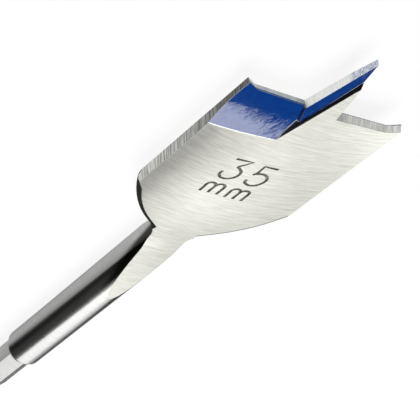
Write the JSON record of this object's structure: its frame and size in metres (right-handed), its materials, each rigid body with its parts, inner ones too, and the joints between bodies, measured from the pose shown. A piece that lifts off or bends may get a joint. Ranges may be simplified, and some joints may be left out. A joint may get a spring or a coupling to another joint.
{
  "type": "spade drill bit",
  "caption": "Flat spade drill bit for wood, with a centre point, spurred lips, ground cutting grooves, a round shaft and a hex shank.",
  "frame": {"origin": "centre of the rear end face of the hex shank, on the drilling axis", "axes": "+X along the drilling axis from the shank to the tip; +Z out of the marked face of the blade; +Y across the blade, towards the half whose upper face carries the cutting groove"},
  "size_m": [0.152, 0.035, 0.0086],
  "materials": {
    "ground_steel": "belt-ground across the blade, smooth on the shaft, with glossy blue paint in the ground cutting grooves"
  },
  "bodies": {
    "root": {"spade_bit": "ground_steel"}
  },
  "joints": []
}
